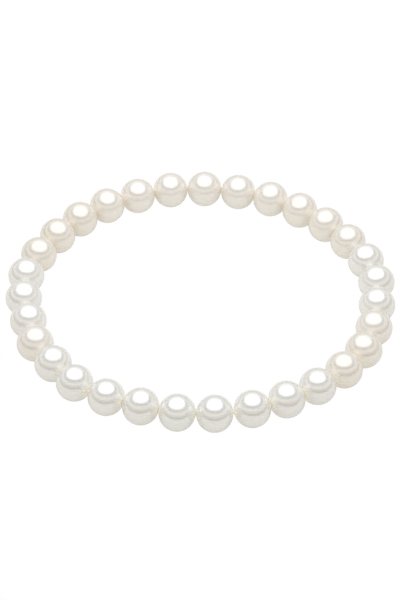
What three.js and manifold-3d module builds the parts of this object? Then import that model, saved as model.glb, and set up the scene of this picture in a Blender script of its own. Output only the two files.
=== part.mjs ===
// A bracelet of round white pearls on one elastic thread, lying flat as an open loop.
// Millimetres, +Z up. The loop lies in X and Y, and the pearls stand on the plane z = 0.
import * as THREE from "three";
import { mergeVertices } from "three/addons/utils/BufferGeometryUtils.js";
import Module from "manifold-3d";

// Pearls
const pearlCount = 31;
const pearlWidth = 6.0; // across the hole
const pearlLength = 5.9; // along the hole, measured as if it were not drilled
const pearlGap = 0.05; // left between two neighbours where they meet
const pearlSides = 16; // flats round the hole
const pearlBands = 9; // flats from one rim of the hole to the other, odd for a level band below

// Thread
const threadDiameter = 0.5;
const holePlay = 0.3; // from the thread to the wall of the hole, all round
const threadSides = 8;
const threadStepsPerPearl = 4;

// Knot in the thread
const knotWidth = 0.44; // of the lobe that shows outside the pearls' rims
const knotWeb = 0.2; // thickness of the part that is squeezed between the pearls
const knotLift = 40; // degrees up from the outer side of the loop
const knotLap = 0.47; // its gap's place on the way round the loop
const knotSides = 10;

// The way round the loop, clockwise from the pearl at the back.
// lap is the share of the way round, and outward the distance past a true circle in pearl widths.
const strandRoute = [
  { lap: 0.03, outward: 0.0 },
  { lap: 0.13, outward: -0.08 },
  { lap: 0.225, outward: 0.03 },
  { lap: 0.26, outward: -0.03 },
  { lap: 0.32, outward: 0.06 },
  { lap: 0.42, outward: -0.04 },
  { lap: 0.485, outward: -0.02 },
  { lap: 0.55, outward: -0.05 },
  { lap: 0.61, outward: 0.065 },
  { lap: 0.645, outward: 0.0 },
  { lap: 0.675, outward: 0.035 },
  { lap: 0.71, outward: -0.05 },
  { lap: 0.775, outward: 0.07 },
  { lap: 0.84, outward: 0.0 },
  { lap: 0.9, outward: 0.03 },
  { lap: 0.97, outward: 0.05 },
];
const backTurn = 88.9; // degrees from +X to the pearl at the back

// Gaps that stand a little open and show the thread, in pearl widths.
const openGaps = [
  { lap: knotLap, slack: 0.02 },
  { lap: 0.6, slack: 0.04 },
];

const seatingPasses = 8; // rounds of laying the loop before every gap is even
const halvings = 50; // steps of the search for the loop's radius
const fullTurn = 2 * Math.PI;
const up = new THREE.Vector3(0, 0, 1);
const holeRadius = threadDiameter / 2 + holePlay;

const wasm = await Module();
wasm.setup();

const pearlFinish = new THREE.MeshStandardMaterial({
  color: 0xf2efe4,
  roughness: 0.18,
  metalness: 0.0,
});

const threadFinish = new THREE.MeshStandardMaterial({
  color: 0xf1e8d4,
  roughness: 0.4,
  metalness: 0.0,
});

// The pearl's outline beside its hole, as distances from the hole's axis (x) and along it (y).
// The flats touch the real pearl, so the corners between them stand a little proud of it.
function pearlOutline() {
  const rimAngle = Math.asin(holeRadius / (pearlWidth / 2));
  const band = (Math.PI - 2 * rimAngle) / pearlBands;
  const outline = [];
  for (let i = 0; i <= pearlBands; i++) {
    const angle = Math.PI - rimAngle - i * band;
    const onRim = i === 0 || i === pearlBands;
    const proud = onRim ? 1 : 1 / Math.cos(band / 2);
    const out = (pearlWidth / 2) * Math.sin(angle) * proud;
    const along = (pearlLength / 2) * Math.cos(angle) * proud;
    outline.push(new THREE.Vector2(out, along));
  }
  return outline;
}

// A drilled pearl round the local Y axis, with one flat facing down and one facing up.
function pearlGeometry() {
  const cornerScale = 1 / Math.cos(Math.PI / pearlSides);
  const profile = pearlOutline().map((p) => new THREE.Vector2(p.x * cornerScale, p.y));
  profile.push(profile[0].clone());
  return new THREE.LatheGeometry(profile, pearlSides, Math.PI / pearlSides, fullTurn);
}

// How far a pearl reaches along a level line that leaves its centre at an angle to its hole.
function pearlReach(outline, tilt) {
  return Math.max(...outline.map((p) => p.y * Math.cos(tilt) + p.x * Math.sin(tilt)));
}

// The outward distance past the circle at a share of the way round, blended between the points.
function outwardAt(lap) {
  const last = strandRoute.length - 1;
  let next = strandRoute.findIndex((point) => point.lap > lap);
  if (next < 0) next = 0;
  const before = strandRoute[next === 0 ? last : next - 1];
  const after = strandRoute[next];
  const span = (after.lap - before.lap + 1) % 1;
  const share = ((lap - before.lap + 1) % 1) / span;
  const blend = (1 - Math.cos(Math.PI * share)) / 2;
  return pearlWidth * THREE.MathUtils.lerp(before.outward, after.outward, blend);
}

const wrap = (i) => (i + pearlCount) % pearlCount;
const gapAt = (lap) => Math.floor(lap * pearlCount);

// The turn between two pearls that lie at radii a and b, a pitch apart.
function turnBetween(a, b, pitch) {
  return Math.acos(THREE.MathUtils.clamp((a * a + b * b - pitch * pitch) / (2 * a * b), -1, 1));
}

// Pearl centres at the given pitches, on the one circle size at which the loop closes.
function placeCentres(pitches) {
  const outward = pitches.map((_, i) => outwardAt(i / pearlCount));
  const turnsAt = (radius) =>
    pitches.map((pitch, i) =>
      turnBetween(radius + outward[i], radius + outward[wrap(i + 1)], pitch),
    );
  const total = (values) => values.reduce((sum, value) => sum + value, 0);
  let small = total(pitches) / (2 * fullTurn);
  let large = (2 * total(pitches)) / fullTurn;
  for (let i = 0; i < halvings; i++) {
    const middle = (small + large) / 2;
    if (total(turnsAt(middle)) > fullTurn) small = middle;
    else large = middle;
  }
  const turns = turnsAt(large);
  let angle = THREE.MathUtils.degToRad(backTurn);
  return outward.map((out, i) => {
    const radius = large + out;
    const centre = new THREE.Vector3(radius * Math.cos(angle), radius * Math.sin(angle), 0);
    angle -= turns[i];
    return centre;
  });
}

// Each pearl's hole runs parallel to the line between its two neighbours.
function holeDirections(centres) {
  return centres.map((_, i) =>
    centres[wrap(i + 1)].clone().sub(centres[wrap(i - 1)]).normalize(),
  );
}

// The pitch of each pair, from how far both pearls reach towards each other at their tilts.
function seatPitches(centres) {
  const outline = pearlOutline();
  const directions = holeDirections(centres);
  const slack = new Array(pearlCount).fill(0);
  openGaps.forEach((gap) => (slack[gapAt(gap.lap)] += gap.slack * pearlWidth));
  return centres.map((centre, i) => {
    const line = centres[wrap(i + 1)].clone().sub(centre);
    const reach = pearlReach(outline, directions[i].angleTo(line));
    const nextReach = pearlReach(outline, directions[wrap(i + 1)].angleTo(line));
    return reach + nextReach + pearlGap + slack[i];
  });
}

// Lays the pearls round the loop until the gaps are even, and centres the loop on the origin.
function layStrand() {
  let centres = placeCentres(new Array(pearlCount).fill(pearlLength));
  for (let pass = 0; pass < seatingPasses; pass++) {
    centres = placeCentres(seatPitches(centres));
  }
  const middle = new THREE.Box3().setFromPoints(centres).getCenter(new THREE.Vector3());
  return centres.map((centre) => centre.sub(middle).setZ(pearlWidth / 2));
}

// Where the thread crosses from each pearl to the next: midway between the two holes' mouths.
function gapPoints(centres, directions) {
  const halfHole = pearlOutline().at(-1).y;
  return centres.map((centre, i) => {
    const mouth = centre.clone().addScaledVector(directions[i], halfHole);
    const nextMouth = centres[wrap(i + 1)]
      .clone()
      .addScaledVector(directions[wrap(i + 1)], -halfHole);
    return mouth.lerp(nextMouth, 0.5);
  });
}

// The loop closes on itself, so its tube has no ends.
function threadGeometry(centres, gaps) {
  const points = centres.flatMap((centre, i) => [centre, gaps[i]]);
  const route = new THREE.CatmullRomCurve3(points, true);
  const steps = pearlCount * threadStepsPerPearl;
  return new THREE.TubeGeometry(route, steps, threadDiameter / 2, threadSides, true);
}

// The knot: a flat web squeezed between two pearls, and the round lobe that shows beside them.
function knotGeometries(centres, gaps) {
  const gap = gapAt(knotLap);
  const along = centres[wrap(gap + 1)].clone().sub(centres[gap]).normalize();
  const outside = along.clone().cross(up).negate();
  const lift = THREE.MathUtils.degToRad(knotLift);
  const towards = outside.multiplyScalar(Math.cos(lift)).addScaledVector(up, Math.sin(lift));
  const turned = new THREE.Matrix4().makeBasis(along, towards, along.clone().cross(towards));
  const lobeReach = holeRadius + knotWidth / 2;
  const ball = (width, height, out) =>
    new THREE.SphereGeometry(0.5, knotSides, knotSides)
      .scale(width, height, height)
      .translate(0, out, 0)
      .applyMatrix4(turned)
      .translate(gaps[gap].x, gaps[gap].y, gaps[gap].z);
  return [ball(knotWeb, lobeReach, lobeReach / 2), ball(knotWidth, knotWidth, lobeReach)];
}

function toSolid(geometry) {
  const bare = geometry.clone();
  bare.deleteAttribute("normal");
  bare.deleteAttribute("uv");
  const merged = mergeVertices(bare);
  const mesh = new wasm.Mesh({
    numProp: 3,
    vertProperties: new Float32Array(merged.attributes.position.array),
    triVerts: new Uint32Array(merged.index.array),
  });
  return new wasm.Manifold(mesh);
}

function toGeometry(solid) {
  const { vertProperties, triVerts } = solid.getMesh();
  const geometry = new THREE.BufferGeometry();
  geometry.setAttribute("position", new THREE.BufferAttribute(vertProperties, 3));
  geometry.setIndex(new THREE.BufferAttribute(triVerts, 1));
  geometry.computeVertexNormals();
  return geometry;
}

function makePearl(centre, direction, number) {
  const pearl = new THREE.Mesh(pearlGeometry(), pearlFinish);
  pearl.name = `pearl_${String(number).padStart(2, "0")}`;
  pearl.position.copy(centre);
  pearl.rotation.z = Math.atan2(direction.y, direction.x) - Math.PI / 2;
  return pearl;
}

function makeThread(centres, directions) {
  const gaps = gapPoints(centres, directions);
  const knot = knotGeometries(centres, gaps).map(toSolid);
  const whole = knot.reduce((sum, piece) => sum.add(piece), toSolid(threadGeometry(centres, gaps)));
  const thread = new THREE.Mesh(toGeometry(whole), threadFinish);
  thread.name = "elastic_thread";
  return thread;
}

const centres = layStrand();
const directions = holeDirections(centres);
const bracelet = new THREE.Group();
centres.forEach((centre, i) => bracelet.add(makePearl(centre, directions[i], i + 1)));
bracelet.add(makeThread(centres, directions));

export default bracelet;
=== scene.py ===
# Pearl bracelet lying on a white studio table, thirty-one drilled pearls on one elastic thread.
import math
import random

import bpy
from mathutils import Matrix, Vector, noise


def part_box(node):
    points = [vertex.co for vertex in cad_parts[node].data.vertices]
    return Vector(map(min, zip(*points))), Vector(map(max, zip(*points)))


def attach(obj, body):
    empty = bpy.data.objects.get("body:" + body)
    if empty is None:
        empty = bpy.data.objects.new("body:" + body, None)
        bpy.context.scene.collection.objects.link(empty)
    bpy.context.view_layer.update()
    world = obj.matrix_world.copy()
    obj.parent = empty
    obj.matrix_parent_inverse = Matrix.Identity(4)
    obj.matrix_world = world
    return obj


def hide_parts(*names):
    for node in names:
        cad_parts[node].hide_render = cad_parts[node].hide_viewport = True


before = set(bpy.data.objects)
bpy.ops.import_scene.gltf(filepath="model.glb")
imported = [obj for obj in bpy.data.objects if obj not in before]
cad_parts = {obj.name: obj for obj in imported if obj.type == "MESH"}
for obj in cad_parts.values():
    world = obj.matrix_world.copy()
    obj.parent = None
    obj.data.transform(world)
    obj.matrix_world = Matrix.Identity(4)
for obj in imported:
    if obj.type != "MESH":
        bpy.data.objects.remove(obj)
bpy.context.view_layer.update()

mm = 0.001
fullTurn = 2 * math.pi
scene = bpy.context.scene
print("frame loaded,", len(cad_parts), "nodes")


# Small helpers for node trees and meshes

def addNode(tree, kind, place=(0, 0), **settings):
    node = tree.nodes.new(kind)
    node.location = place
    for key, value in settings.items():
        setattr(node, key, value)
    return node


def mathNode(tree, operation, a, b=None, place=(0, 0)):
    node = addNode(tree, "ShaderNodeMath", place, operation=operation)
    for socket, value in zip(node.inputs, (a, b)):
        if isinstance(value, bpy.types.NodeSocket):
            tree.links.new(value, socket)
        elif value is not None:
            socket.default_value = value
    return node.outputs[0]


def mixColour(tree, share, first, second, blend="MIX", place=(0, 0)):
    node = addNode(tree, "ShaderNodeMix", place, data_type="RGBA", blend_type=blend)
    for socket, value in zip((node.inputs[0], node.inputs[6], node.inputs[7]), (share, first, second)):
        if isinstance(value, bpy.types.NodeSocket):
            tree.links.new(value, socket)
        else:
            socket.default_value = value
    return node.outputs[2]


def smoothStep(tree, value, start, end, low=0.0, high=1.0, place=(0, 0)):
    node = addNode(tree, "ShaderNodeMapRange", place, interpolation_type="SMOOTHSTEP")
    tree.links.new(value, node.inputs["Value"])
    for name, number in (("From Min", start), ("From Max", end), ("To Min", low), ("To Max", high)):
        node.inputs[name].default_value = number
    return node.outputs["Result"]


def newMaterial(name):
    material = bpy.data.materials.new(name)
    material.use_nodes = True
    tree = material.node_tree
    tree.nodes.clear()
    output = addNode(tree, "ShaderNodeOutputMaterial", (700, 0))
    shader = addNode(tree, "ShaderNodeBsdfPrincipled", (400, 0))
    tree.links.new(shader.outputs["BSDF"], output.inputs["Surface"])
    return material, tree, shader


def newPiece(name, points, faces, material):
    mesh = bpy.data.meshes.new(name)
    mesh.from_pydata([tuple(p) for p in points], [], faces)
    mesh.polygons.foreach_set("use_smooth", [True] * len(mesh.polygons))
    mesh.materials.append(material)
    piece = bpy.data.objects.new(name, mesh)
    scene.collection.objects.link(piece)
    return piece


# Nacre

nacreLook = {
    "patchSize": 2.2,          # mm, the drifting patches of body colour
    "patchStrength": 0.5,
    "patchDetail": 3.0,
    "patchWarp": 0.4,
    "patchEdges": (0.38, 0.66),
    "rippleSize": 0.9,         # mm, the faint ripple of the skin
    "rippleHeight": 0.0001,    # mm
    "rippleDetail": 2.0,
    "growthWidth": 0.16,       # mm between the rings that nacre grows in
    "growthWarp": 6.0,
    "growthDetail": 2.0,
    "growthShare": 0.05,       # of the ripple's height
    "drillStain": 0.6,         # mm, how far the warmer colour reaches from the hole's axis
    "stainEdges": (0.6, 1.6),  # where it starts and stops to fade, as shares of drillStain
    "stainStrength": 0.6,
    "stainColour": (0.93, 0.88, 0.78),
    "roughness": 0.2,
    "roughEdges": (0.3, 0.7),  # the ripple's low and high spots
    "roughSpread": (0.92, 1.08),  # how much smoother and rougher they are than the rest
    "ior": 1.3,
    "edgeTint": (0.75, 0.72, 0.68),
    "coat": 0.2,
    "coatRoughness": 0.15,
    "coatIor": 1.5,
    "endGlow": 0.12,           # painted glow at the drill hole's ends: the nacre emits light there, standing in for light that comes through the thin ends
    "endGlowReach": 1.9,       # mm from the hole's axis
    "endGlowEdges": (0.1, 1.0),  # where it starts and stops to fade, as shares of endGlowReach
    "endGlowColour": (0.94, 0.85, 0.69),
}

# lustre is the share of light that the nacre mirrors. The tones are partly the pearls' own colour and partly
# painted light: cooler and more mirroring at the front of the loop, warmer and less mirroring at the back,
# the way the light falls there
pearlTones = {
    "cool": {"body": (0.918, 0.909, 0.855), "overtone": (0.912, 0.91, 0.867), "lustre": 0.37},
    "white": {"body": (0.92, 0.905, 0.85), "overtone": (0.926, 0.902, 0.86), "lustre": 0.35},
    "cream": {"body": (0.922, 0.88, 0.8), "overtone": (0.926, 0.876, 0.815), "lustre": 0.3},
    "ivory": {"body": (0.922, 0.875, 0.788), "overtone": (0.926, 0.87, 0.8), "lustre": 0.31},
    "champagne": {"body": (0.912, 0.857, 0.762), "overtone": (0.916, 0.853, 0.775), "lustre": 0.32},
}


def buildNacreSkin():
    # body colour with an overtone in soft patches, the drill stain, ripples, growth rings and the painted
    # glow round the drill hole
    look = nacreLook
    group = bpy.data.node_groups.new("nacreSkin", "ShaderNodeTree")
    face = group.interface
    for name, kind, value in (
        ("Body", "NodeSocketColor", (0.8, 0.78, 0.72, 1)),
        ("Overtone", "NodeSocketColor", (0.8, 0.78, 0.72, 1)),
        ("Stain", "NodeSocketColor", (0.8, 0.78, 0.72, 1)),
        ("Glow Tint", "NodeSocketColor", (0.8, 0.78, 0.72, 1)),
        ("Patch Scale", "NodeSocketFloat", 450.0),
        ("Patch Strength", "NodeSocketFloat", 0.5),
        ("Ripple Scale", "NodeSocketFloat", 1800.0),
        ("Ring Scale", "NodeSocketFloat", 1000.0),
        ("Stain Reach", "NodeSocketFloat", 0.0009),
        ("Glow Reach", "NodeSocketFloat", 0.0019),
        ("Roughness", "NodeSocketFloat", 0.2),
    ):
        socket = face.new_socket(name=name, in_out="INPUT", socket_type=kind)
        socket.default_value = value
    face.new_socket(name="Color", in_out="OUTPUT", socket_type="NodeSocketColor")
    face.new_socket(name="Roughness", in_out="OUTPUT", socket_type="NodeSocketFloat")
    face.new_socket(name="Height", in_out="OUTPUT", socket_type="NodeSocketFloat")
    face.new_socket(name="Glow", in_out="OUTPUT", socket_type="NodeSocketColor")
    given = addNode(group, "NodeGroupInput", (-1100, 0))
    result = addNode(group, "NodeGroupOutput", (800, 0))
    coords = addNode(group, "ShaderNodeTexCoord", (-1100, 300))
    local = coords.outputs["Object"]
    hole = addNode(group, "ShaderNodeAttribute", (-700, -100), attribute_name="fromHole")

    patches = addNode(group, "ShaderNodeTexNoise", (-700, 400))
    patches.inputs["Detail"].default_value = look["patchDetail"]
    patches.inputs["Distortion"].default_value = look["patchWarp"]
    group.links.new(local, patches.inputs["Vector"])
    group.links.new(given.outputs["Patch Scale"], patches.inputs["Scale"])
    patchShare = smoothStep(group, patches.outputs["Fac"], *look["patchEdges"], place=(-480, 400))
    patchShare = mathNode(group, "MULTIPLY", patchShare, given.outputs["Patch Strength"], (-260, 400))
    body = mixColour(group, patchShare, given.outputs["Body"], given.outputs["Overtone"], place=(-60, 300))

    stainShare = mathNode(group, "DIVIDE", hole.outputs["Fac"], given.outputs["Stain Reach"], (-200, -120))
    stainShare = smoothStep(group, stainShare, *look["stainEdges"], look["stainStrength"], 0.0, (-40, -120))
    colour = mixColour(group, stainShare, body, given.outputs["Stain"], place=(200, 200))
    group.links.new(colour, result.inputs["Color"])

    # painted glow: emission that is strongest near the hole's axis and fades outwards
    glowShare = mathNode(group, "DIVIDE", hole.outputs["Fac"], given.outputs["Glow Reach"], (-200, -240))
    glowShare = smoothStep(group, glowShare, *look["endGlowEdges"], 1.0, 0.0, (-40, -240))
    glow = mixColour(group, glowShare, (0, 0, 0, 1), given.outputs["Glow Tint"], place=(200, -100))
    group.links.new(glow, result.inputs["Glow"])

    ripples = addNode(group, "ShaderNodeTexNoise", (-700, -420))
    ripples.inputs["Detail"].default_value = look["rippleDetail"]
    group.links.new(local, ripples.inputs["Vector"])
    group.links.new(given.outputs["Ripple Scale"], ripples.inputs["Scale"])
    rings = addNode(group, "ShaderNodeTexWave", (-700, -700), wave_type="RINGS", rings_direction="SPHERICAL")
    rings.inputs["Distortion"].default_value = look["growthWarp"]
    rings.inputs["Detail"].default_value = look["growthDetail"]
    group.links.new(local, rings.inputs["Vector"])
    group.links.new(given.outputs["Ring Scale"], rings.inputs["Scale"])
    ringHeight = mathNode(group, "MULTIPLY", rings.outputs["Fac"], look["growthShare"], (-480, -700))
    height = mathNode(group, "ADD", ripples.outputs["Fac"], ringHeight, (-260, -500))
    group.links.new(height, result.inputs["Height"])

    rough = smoothStep(group, ripples.outputs["Fac"], *look["roughEdges"], *look["roughSpread"], (-260, -320))
    rough = mathNode(group, "MULTIPLY", rough, given.outputs["Roughness"], (-60, -320))
    group.links.new(rough, result.inputs["Roughness"])
    return group


def buildNacre(toneName, skin):
    look, tone = nacreLook, pearlTones[toneName]
    material, tree, shader = newMaterial("nacre_" + toneName)
    skinNode = addNode(tree, "ShaderNodeGroup", (-200, 0), node_tree=skin)
    skinNode.inputs["Body"].default_value = (*tone["body"], 1)
    skinNode.inputs["Overtone"].default_value = (*tone["overtone"], 1)
    skinNode.inputs["Stain"].default_value = (*look["stainColour"], 1)
    skinNode.inputs["Glow Tint"].default_value = (*look["endGlowColour"], 1)
    skinNode.inputs["Patch Scale"].default_value = 1 / (look["patchSize"] * mm)
    skinNode.inputs["Patch Strength"].default_value = look["patchStrength"]
    skinNode.inputs["Ripple Scale"].default_value = 1 / (look["rippleSize"] * mm)
    skinNode.inputs["Ring Scale"].default_value = 1 / (look["growthWidth"] * mm * fullTurn)
    skinNode.inputs["Stain Reach"].default_value = look["drillStain"] * mm
    skinNode.inputs["Glow Reach"].default_value = look["endGlowReach"] * mm
    skinNode.inputs["Roughness"].default_value = look["roughness"]
    bump = addNode(tree, "ShaderNodeBump", (150, -300))
    bump.inputs["Distance"].default_value = look["rippleHeight"] * mm
    tree.links.new(skinNode.outputs["Height"], bump.inputs["Height"])
    tree.links.new(bump.outputs["Normal"], shader.inputs["Normal"])
    tree.links.new(skinNode.outputs["Color"], shader.inputs["Base Color"])
    tree.links.new(skinNode.outputs["Roughness"], shader.inputs["Roughness"])
    # painted glow round the drill hole: the nacre emits light to lighten the creases where pearls touch
    tree.links.new(skinNode.outputs["Glow"], shader.inputs["Emission Color"])
    shader.inputs["Emission Strength"].default_value = look["endGlow"]
    shader.inputs["Metallic"].default_value = tone["lustre"]
    shader.inputs["IOR"].default_value = look["ior"]
    shader.inputs["Specular Tint"].default_value = (*look["edgeTint"], 1)
    shader.inputs["Coat Weight"].default_value = look["coat"]
    shader.inputs["Coat Roughness"].default_value = look["coatRoughness"]
    shader.inputs["Coat IOR"].default_value = look["coatIor"]
    return material


# Pearls

pearlBuild = {
    "around": 96,          # columns of faces round the hole
    "along": 60,           # rows from one rim of the hole to the other
    "holeRadius": 0.36,    # mm, closer to the thread than in the CAD model
    "rimRound": 0.05,      # mm, the worn edge of the drill hole
    "rimCorner": (0.3, 0.25),  # the middle of that edge, as shares of it outwards and along
    "wallRows": 3,
    "size": 1.004,         # width over the CAD pearl's
    "sizeSpread": 0.004,   # how much the pearls differ, as a share
    "ovalSpread": 0.006,
    "swell": 0.0035,       # the uneven growth, as a share of the radius
    "swellSize": 3.0,      # mm
    "swellSpan": 90,       # the noise is read at a place of its own for each pearl, up to this far off
    "seed": 31,
}

toneOrder = {  # the pearls that aren't plain white; which tone each gets is partly its own colour and partly painted light, cooler at the front of the loop and warmer at the back
    "cool": (15, 16, 17, 19, 20),
    "cream": (1, 2, 3, 10, 22, 30, 31),
    "ivory": (4, 5, 6, 11, 12, 29),
    "champagne": (26, 27, 28),
}


def strandPlaces():
    # each pearl's centre and the way its hole runs, from its CAD box and its neighbours
    names = sorted(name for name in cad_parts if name.startswith("pearl_"))
    centres = []
    for name in names:
        low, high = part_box(name)
        centres.append((low + high) / 2)
    count = len(names)
    holes = [(centres[(i + 1) % count] - centres[i - 1]).normalized() for i in range(count)]
    return names, centres, holes


def measurePearl(name, centre, hole):
    # half its width, half its drilled length and the hole's radius, from the CAD pearl
    low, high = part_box(name)
    offsets = [v.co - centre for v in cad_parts[name].data.vertices]
    drilledHalf = max(v.dot(hole) for v in offsets)
    holeRadius = min((v - v.dot(hole) * hole).length for v in offsets)
    return (high.z - low.z) / 2, drilledHalf, holeRadius


def pearlProfile(halfWidth, drilledHalf, cadHoleRadius):
    # the outline from one end of the hole to the other and back through it, as (out, along)
    build = pearlBuild
    halfLength = drilledHalf / math.sqrt(1 - (cadHoleRadius / halfWidth) ** 2)
    holeRadius = build["holeRadius"] * mm
    rim = build["rimRound"] * mm
    cornerOut, cornerAlong = (share * rim for share in build["rimCorner"])
    start = math.asin((holeRadius + rim) / halfWidth)
    profile = []
    for i in range(build["along"] + 1):
        angle = start + (math.pi - 2 * start) * i / build["along"]
        profile.append((halfWidth * math.sin(angle), halfLength * math.cos(angle)))
    end = profile[-1][1]
    profile.append((holeRadius + cornerOut, end + cornerAlong))
    wallEnd = -end - rim
    for i in range(build["wallRows"] + 1):
        profile.append((holeRadius, -wallEnd + 2 * wallEnd * i / build["wallRows"]))
    profile.append((holeRadius + cornerOut, -end - cornerAlong))
    return profile


def latheFaces(rows, columns):
    faces = []
    for r in range(rows):
        nextRow = (r + 1) % rows
        for c in range(columns):
            nextColumn = (c + 1) % columns
            faces.append((r * columns + c, nextRow * columns + c,
                          nextRow * columns + nextColumn, r * columns + nextColumn))
    return faces


def buildPearl(name, centre, hole, materials, dice):
    build = pearlBuild
    halfWidth, drilledHalf, cadHoleRadius = measurePearl(name, centre, hole)
    size = build["size"] + build["sizeSpread"] * dice.uniform(-1, 1)
    oval = 1 + build["ovalSpread"] * dice.uniform(-1, 1)
    shift = Vector([dice.uniform(0, build["swellSpan"]) for _ in range(3)])
    spin = dice.uniform(0, fullTurn)
    profile = pearlProfile(halfWidth * size, drilledHalf, cadHoleRadius)
    toHole = Vector((0, 0, 1)).rotation_difference(hole).to_matrix() @ Matrix.Rotation(spin, 3, "Z")
    points = []
    for out, along in profile:
        for c in range(build["around"]):
            turn = fullTurn * c / build["around"]
            point = Vector((out * oval * math.cos(turn), out / oval * math.sin(turn), along))
            swell = noise.noise(point / (build["swellSize"] * mm) + shift)
            outer = min(1, out / halfWidth)  # the hole itself stays round
            points.append(toHole @ point * (1 + build["swell"] * swell * outer))
    faces = latheFaces(len(profile), build["around"])
    piece = newPiece(name + "_nacre", points, faces, materials[toneOf(name)])
    piece.location = centre
    fromHole = piece.data.attributes.new("fromHole", "FLOAT", "POINT")
    fromHole.data.foreach_set("value", [out for out, _ in profile for _ in range(build["around"])])
    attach(piece, "root")
    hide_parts(name)
    return piece


def toneOf(name):
    number = int(name.split("_")[1])
    for tone, numbers in toneOrder.items():
        if number in numbers:
            return tone
    return "white"


# Elastic thread and its knot

threadBuild = {
    "diameter": 0.5,       # mm
    "sides": 14,
    "rings": 620,
    "strandTwist": 0.9,    # mm for one turn of the filaments
    "strandWarp": 1.5,
    "strandRise": 0.02,    # mm, how far the filaments stand out
    "knotAfter": 15,       # the pearl before the knot
    "knotLift": 40,        # degrees up from the outer side of the loop
    "knotSize": 0.56,      # mm
    "knotStrand": 0.24,    # mm, the elastic is pulled thin in the knot
    "knotReach": 0.8,      # mm from the thread's middle to the knot's
    "knotCurl": 0.14,      # its loops and its depth, as shares of its size
    "knotDepth": 0.16,
    "knotPoints": 40,
    "knotSides": 12,
    "tailLength": 0.55,    # mm
    "tailBend": 0.16,      # mm above the knot's middle, where a tail turns over
    "tailEnd": 0.12,       # mm above the knot's middle
    "tailWidth": 0.7,      # over the strand's
    "tailTaper": 0.5,
    "tipShare": 1 / 6,     # of a tail, the part that narrows
    "tailSteps": 8,
    "stemWidth": 0.9,      # over the strand's, for the part between thread and knot
    "stemSteps": 6,
    "endSides": 10,        # of the tails and the stem
    "colour": (0.95, 0.91, 0.82),
    "shade": 0.86,         # between the filaments
    "roughness": 0.42,
    "bleedShare": 0.3,
    "bleed": 0.3,          # mm
    "threadGlow": 0.14,  # painted glow of the cord, standing in for light that the pearls let through to it
}


def buildThreadMaterial():
    look = threadBuild
    material, tree, shader = newMaterial("elastic_cord")
    coords = addNode(tree, "ShaderNodeTexCoord", (-900, 0))
    weave = addNode(tree, "ShaderNodeTexWave", (-650, 100), wave_type="BANDS", bands_direction="DIAGONAL")
    weave.inputs["Scale"].default_value = 1 / (look["strandTwist"] * mm)
    weave.inputs["Distortion"].default_value = look["strandWarp"]
    tree.links.new(coords.outputs["Object"], weave.inputs["Vector"])
    light = (*look["colour"], 1)
    shaded = tuple(c * look["shade"] for c in look["colour"]) + (1,)
    colour = mixColour(tree, weave.outputs["Fac"], shaded, light, place=(-350, 100))
    tree.links.new(colour, shader.inputs["Base Color"])
    bump = addNode(tree, "ShaderNodeBump", (100, -250))
    bump.inputs["Distance"].default_value = look["strandRise"] * mm
    tree.links.new(weave.outputs["Fac"], bump.inputs["Height"])
    tree.links.new(bump.outputs["Normal"], shader.inputs["Normal"])
    shader.inputs["Roughness"].default_value = look["roughness"]
    shader.inputs["Subsurface Weight"].default_value = look["bleedShare"]
    shader.inputs["Subsurface Scale"].default_value = look["bleed"] * mm
    # painted glow: the cord emits its own colour, standing in for light that the pearls let through to it
    shader.inputs["Emission Color"].default_value = light
    shader.inputs["Emission Strength"].default_value = look["threadGlow"]
    return material


def crossingPoints(names, centres, holes):
    # where the thread passes from pearl to pearl, midway between the two mouths
    count = len(names)
    mouths = []
    for i in range(count):
        half = measurePearl(names[i], centres[i], holes[i])[1]
        after = (i + 1) % count
        nextHalf = measurePearl(names[after], centres[after], holes[after])[1]
        mouths.append((centres[i] + holes[i] * half + centres[after] - holes[after] * nextHalf) / 2)
    return mouths


def closedCurve(points, steps):
    # a smooth closed line through the points
    count = len(points)
    line = []
    for s in range(steps):
        place = count * s / steps
        i = int(place)
        t = place - i
        a, b, c, d = (points[(i + k) % count] for k in (-1, 0, 1, 2))
        line.append(0.5 * (2 * b + (c - a) * t + (2 * a - 5 * b + 4 * c - d) * t ** 2
                           + (3 * b - a - 3 * c + d) * t ** 3))
    return line


def tubeRings(line, radius, sides, closed, taper=0.0):
    # rings of points round a line, and the faces between them
    points, faces = [], []
    count = len(line)
    for i, centre in enumerate(line):
        before = line[i - 1] if closed or i > 0 else line[0]
        after = line[(i + 1) % count] if closed or i < count - 1 else line[-1]
        along = (after - before).normalized()
        side = along.cross(Vector((0, 0, 1))).normalized()
        over = side.cross(along)
        edge = min(i, count - 1 - i) / max(1, count - 1)
        size = radius if closed else radius * (1 - taper * max(0, 1 - edge / threadBuild["tipShare"]))
        for s in range(sides):
            turn = fullTurn * s / sides
            points.append(centre + (side * math.cos(turn) + over * math.sin(turn)) * size)
    for i in range(count if closed else count - 1):
        j = (i + 1) % count
        for s in range(sides):
            t = (s + 1) % sides
            faces.append((i * sides + s, i * sides + t, j * sides + t, j * sides + s))
    if not closed:
        faces.append(tuple(range(sides - 1, -1, -1)))
        faces.append(tuple(range((count - 1) * sides, count * sides)))
    return points, faces


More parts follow.
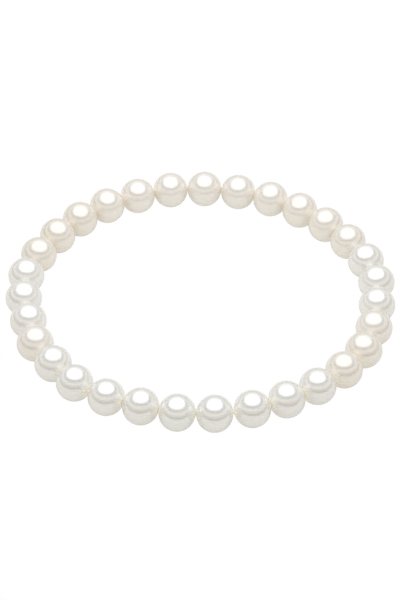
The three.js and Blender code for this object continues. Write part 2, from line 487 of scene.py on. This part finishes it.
def knotLines(crossing, along):
    # the knot's small loops, the two cut tails and the stem from the thread to the knot
    look = threadBuild
    lift = math.radians(look["knotLift"])
    outside = Vector((0, 0, 1)).cross(along).normalized()
    towards = outside * math.cos(lift) + Vector((0, 0, 1)) * math.sin(lift)
    over = along.cross(towards)
    middle = crossing + towards * look["knotReach"] * mm
    curl = look["knotSize"] * look["knotCurl"] * mm
    depth = look["knotSize"] * look["knotDepth"] * mm
    loop = []
    for s in range(look["knotPoints"]):
        t = fullTurn * s / look["knotPoints"]
        loop.append(middle + (over * math.sin(t) + 2 * over * math.sin(2 * t)) * curl
                    + (towards * math.cos(t) - 2 * towards * math.cos(2 * t)) * curl
                    - along * math.sin(3 * t) * depth)
    tails = []
    steps = look["tailSteps"]
    for way in (-1, 1):
        sideways = over * way * look["tailLength"] * mm
        end = middle + sideways / 2 + towards * look["tailEnd"] * mm
        bend = middle + sideways / 4 + towards * look["tailBend"] * mm
        first = [middle.lerp(bend, 2 * k / steps) for k in range(steps // 2)]
        second = [bend.lerp(end, 2 * k / steps) for k in range(steps // 2 + 1)]
        tails.append(first + second)
    stem = [crossing.lerp(middle, k / look["stemSteps"]) for k in range(look["stemSteps"] + 1)]
    return loop, tails, stem


def buildThread(names, centres, holes, material):
    look = threadBuild
    crossings = crossingPoints(names, centres, holes)
    stops = [point for pair in zip(centres, crossings) for point in pair]
    radius = look["diameter"] / 2 * mm
    points, faces = tubeRings(closedCurve(stops, look["rings"]), radius, look["sides"], True)
    knot = look["knotAfter"] - 1
    along = (centres[knot + 1] - centres[knot]).normalized()
    loop, tails, stem = knotLines(crossings[knot], along)
    strand = look["knotStrand"] / 2 * mm
    endSides = look["endSides"]
    parts = [tubeRings(loop, strand, look["knotSides"], True)]
    for tail in tails:
        parts.append(tubeRings(tail, strand * look["tailWidth"], endSides, False, look["tailTaper"]))
    parts.append(tubeRings(stem, strand * look["stemWidth"], endSides, False))
    for morePoints, moreFaces in parts:
        first = len(points)
        points += morePoints
        faces += [tuple(first + k for k in f) for f in moreFaces]
    piece = newPiece("elastic_thread_cord", points, faces, material)
    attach(piece, "root")
    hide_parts("elastic_thread")
    return piece


# Table, light and camera

studio = {
    "tableSize": 6.0,           # m
    "tableDrop": 0.03,          # mm, so that the fullest pearl still lies on it
    "tableColour": (0.45, 0.45, 0.45),
    "tableGrain": 260.0,
    "tableShade": 0.985,        # the grain's darker parts
    "tableRoughness": 0.9,
    "tableGloss": 0.1,
    "tableGlow": 0.44,          # the table is a sheet of white acrylic lit from below
    "tableTint": (1.0, 0.99, 0.95),
    "panelSize": (0.43, 0.39),  # m, the oval softbox overhead
    "panelPlace": (-0.004, 0.05, 0.22),  # m
    "panelLight": 0.74,
    "panelTint": (1.0, 1.01, 1.09),
    "skirtGap": 0.009,          # m outside the softbox, the cloth skirt that hangs round it
    "skirtHeight": 0.215,       # m
    "skirtColumns": 72,
    "skirtFade": (0.12, 0.24),  # m behind the middle, where the skirt opens towards the room
    # height on the skirt in millimetres, and its light there
    "skirtBands": (
        (0.0, (0.06, 0.05, 0.03)),
        (15.0, (0.36, 0.3, 0.21)),
        (30.0, (0.5, 0.47, 0.42)),
        (50.0, (0.64, 0.61, 0.55)),
        (80.0, (1.02, 1.0, 0.96)),
        (105.0, (0.72, 0.7, 0.68)),
        (135.0, (0.42, 0.41, 0.4)),
        (160.0, (0.24, 0.23, 0.22)),
        (190.0, (0.26, 0.25, 0.25)),
        (215.0, (0.78, 0.8, 0.86)),
    ),
    # height above the horizon in degrees, and the room's light from there
    "roomBands": (
        (0.0, (0.25, 0.23, 0.15)),
        (10.0, (0.46, 0.42, 0.37)),
        (18.0, (0.54, 0.52, 0.48)),
        (24.0, (0.76, 0.74, 0.71)),
        (40.0, (0.82, 0.86, 0.9)),
    ),
}

photoCamera = {
    "width": 401,
    "height": 601,
    "focalPixels": 2634.1,
    "sensor": 36.0,            # mm
    "sight": (0.01, 50),       # m, the nearest and the farthest that it sees
    "pitch": 39.508,           # degrees down from level
    "roll": 0.107,             # degrees
    "distance": 436.1,         # mm from the target
    "target": (-0.044, -1.306, 3.0),  # mm
}


def buildTable():
    look = studio
    half = look["tableSize"] / 2
    level = -look["tableDrop"] * mm
    corners = [(-half, -half, level), (half, -half, level), (half, half, level), (-half, half, level)]
    material, tree, shader = newMaterial("white_table")
    coords = addNode(tree, "ShaderNodeTexCoord", (-700, 0))
    grain = addNode(tree, "ShaderNodeTexNoise", (-450, 0))
    grain.inputs["Scale"].default_value = look["tableGrain"]
    tree.links.new(coords.outputs["Object"], grain.inputs["Vector"])
    plain = (*look["tableColour"], 1)
    shaded = tuple(c * look["tableShade"] for c in look["tableColour"]) + (1,)
    tree.links.new(mixColour(tree, grain.outputs["Fac"], shaded, plain, place=(-200, 0)),
                   shader.inputs["Base Color"])
    shader.inputs["Roughness"].default_value = look["tableRoughness"]
    shader.inputs["Specular IOR Level"].default_value = look["tableGloss"]
    shader.inputs["Emission Color"].default_value = (*look["tableTint"], 1)
    shader.inputs["Emission Strength"].default_value = look["tableGlow"]
    rays = addNode(tree, "ShaderNodeLightPath", (400, 300))
    paper = addNode(tree, "ShaderNodeEmission", (400, -600))  # the camera sees the table overexposed
    mix = addNode(tree, "ShaderNodeMixShader", (600, 200))
    tree.links.new(rays.outputs["Is Camera Ray"], mix.inputs[0])
    tree.links.new(shader.outputs["BSDF"], mix.inputs[1])
    tree.links.new(paper.outputs[0], mix.inputs[2])
    tree.links.new(mix.outputs[0], tree.nodes["Material Output"].inputs["Surface"])
    table = newPiece("studio_table", corners, [(0, 1, 2, 3)], material)


def bandRamp(tree, height, bands, top, place):
    # the light at each height, up to the top one
    ramp = addNode(tree, "ShaderNodeValToRGB", place)
    while len(ramp.color_ramp.elements) < len(bands):
        ramp.color_ramp.elements.new(1.0)
    for element, (level, colour) in zip(ramp.color_ramp.elements, bands):
        element.position = level / top
        element.color = (*colour, 1)
    tree.links.new(height, ramp.inputs[0])
    return ramp.outputs[0]


def buildRoom():
    # the room round the table, light above and dim at table height, and plain white to the camera
    look = studio
    world = bpy.data.worlds.new("studio")
    scene.world = world
    world.use_nodes = True
    tree = world.node_tree
    tree.nodes.clear()
    output = addNode(tree, "ShaderNodeOutputWorld", (900, 0))
    background = addNode(tree, "ShaderNodeBackground", (700, 0))
    tree.links.new(background.outputs[0], output.inputs["Surface"])
    coords = addNode(tree, "ShaderNodeTexCoord", (-900, 0))
    direction = coords.outputs["Generated"]
    parts = addNode(tree, "ShaderNodeSeparateXYZ", (-700, -200))
    tree.links.new(direction, parts.inputs[0])

    height = mathNode(tree, "ARCSINE", parts.outputs["Z"], place=(-500, -250))
    height = mathNode(tree, "DIVIDE", height, math.pi / 2, (-320, -250))
    zenith = 90
    room = bandRamp(tree, height, look["roomBands"], zenith, (-100, -250))

    rays = addNode(tree, "ShaderNodeLightPath", (350, 300))
    seen = mixColour(tree, rays.outputs["Is Camera Ray"], room, (1, 1, 1, 1), place=(530, 150))
    tree.links.new(seen, background.inputs["Color"])


def buildSkirt():
    # the cloth round the softbox, seen only in the pearls
    look = studio
    top = look["skirtHeight"]
    material = bpy.data.materials.new("softbox_skirt")
    material.use_nodes = True
    tree = material.node_tree
    tree.nodes.clear()
    output = addNode(tree, "ShaderNodeOutputMaterial", (700, 0))
    coords = addNode(tree, "ShaderNodeTexCoord", (-900, 0))
    parts = addNode(tree, "ShaderNodeSeparateXYZ", (-700, 0))
    tree.links.new(coords.outputs["Object"], parts.inputs[0])
    up = mathNode(tree, "DIVIDE", parts.outputs["Z"], top, (-500, 100))
    cloth = addNode(tree, "ShaderNodeEmission", (200, 100))
    tree.links.new(bandRamp(tree, up, look["skirtBands"], top / mm, (-250, 100)), cloth.inputs["Color"])
    share = smoothStep(tree, parts.outputs["Y"], *look["skirtFade"], 1.0, 0.0, (-250, -200))
    opening = addNode(tree, "ShaderNodeBsdfTransparent", (200, -100))
    mix = addNode(tree, "ShaderNodeMixShader", (450, 0))
    tree.links.new(share, mix.inputs[0])
    tree.links.new(opening.outputs[0], mix.inputs[1])
    tree.links.new(cloth.outputs[0], mix.inputs[2])
    tree.links.new(mix.outputs[0], output.inputs["Surface"])
    points, faces = [], []
    columns = look["skirtColumns"]
    x, y, _ = look["panelPlace"]
    reach = [size / 2 + look["skirtGap"] for size in look["panelSize"]]
    for c in range(columns):
        turn = fullTurn * c / columns
        for z in (0, top):
            points.append((x + reach[0] * math.cos(turn), y + reach[1] * math.sin(turn), z))
        nextColumn = (c + 1) % columns
        faces.append((2 * c, 2 * nextColumn, 2 * nextColumn + 1, 2 * c + 1))
    skirt = newPiece("softbox_skirt", points, faces, material)
    skirt.visible_camera = False


def buildPanel():
    look = studio
    width, depth = look["panelSize"]
    light = bpy.data.lights.new("overhead_panel", "AREA")
    light.shape = "ELLIPSE"
    light.color = look["panelTint"]
    light.size, light.size_y = width, depth
    area = math.pi / 4 * width * depth
    light.energy = look["panelLight"] * math.pi * area  # watts from the panel's brightness
    panel = bpy.data.objects.new("overhead_panel", light)
    panel.location = look["panelPlace"]
    panel.visible_camera = False
    scene.collection.objects.link(panel)


def buildCamera():
    look = photoCamera
    data = bpy.data.cameras.new("photo_camera")
    data.sensor_width = look["sensor"]
    data.lens = look["focalPixels"] * data.sensor_width / max(look["width"], look["height"])
    data.clip_start, data.clip_end = look["sight"]
    camera = bpy.data.objects.new("photo_camera", data)
    scene.collection.objects.link(camera)
    pitch = math.radians(look["pitch"])
    forward = Vector((0, math.cos(pitch), -math.sin(pitch)))
    place = Vector(look["target"]) * mm - forward * look["distance"] * mm
    aim = forward.to_track_quat("-Z", "Y").to_matrix().to_4x4()
    roll = Matrix.Rotation(math.radians(look["roll"]), 4, "Z")
    camera.matrix_world = Matrix.Translation(place) @ aim @ roll
    scene.camera = camera


def setColours():
    scene.view_settings.view_transform = "Standard"
    scene.view_settings.look = "None"


buildCamera()
buildTable()
buildRoom()
buildSkirt()
buildPanel()
setColours()
print("studio built")

names, centres, holes = strandPlaces()
skin = buildNacreSkin()
nacre = {tone: buildNacre(tone, skin) for tone in pearlTones}
dice = random.Random(pearlBuild["seed"])
for name, centre, hole in zip(names, centres, holes):
    buildPearl(name, centre, hole, nacre, dice)
print("pearls built,", len(names))

buildThread(names, centres, holes, buildThreadMaterial())
print("thread and knot built")
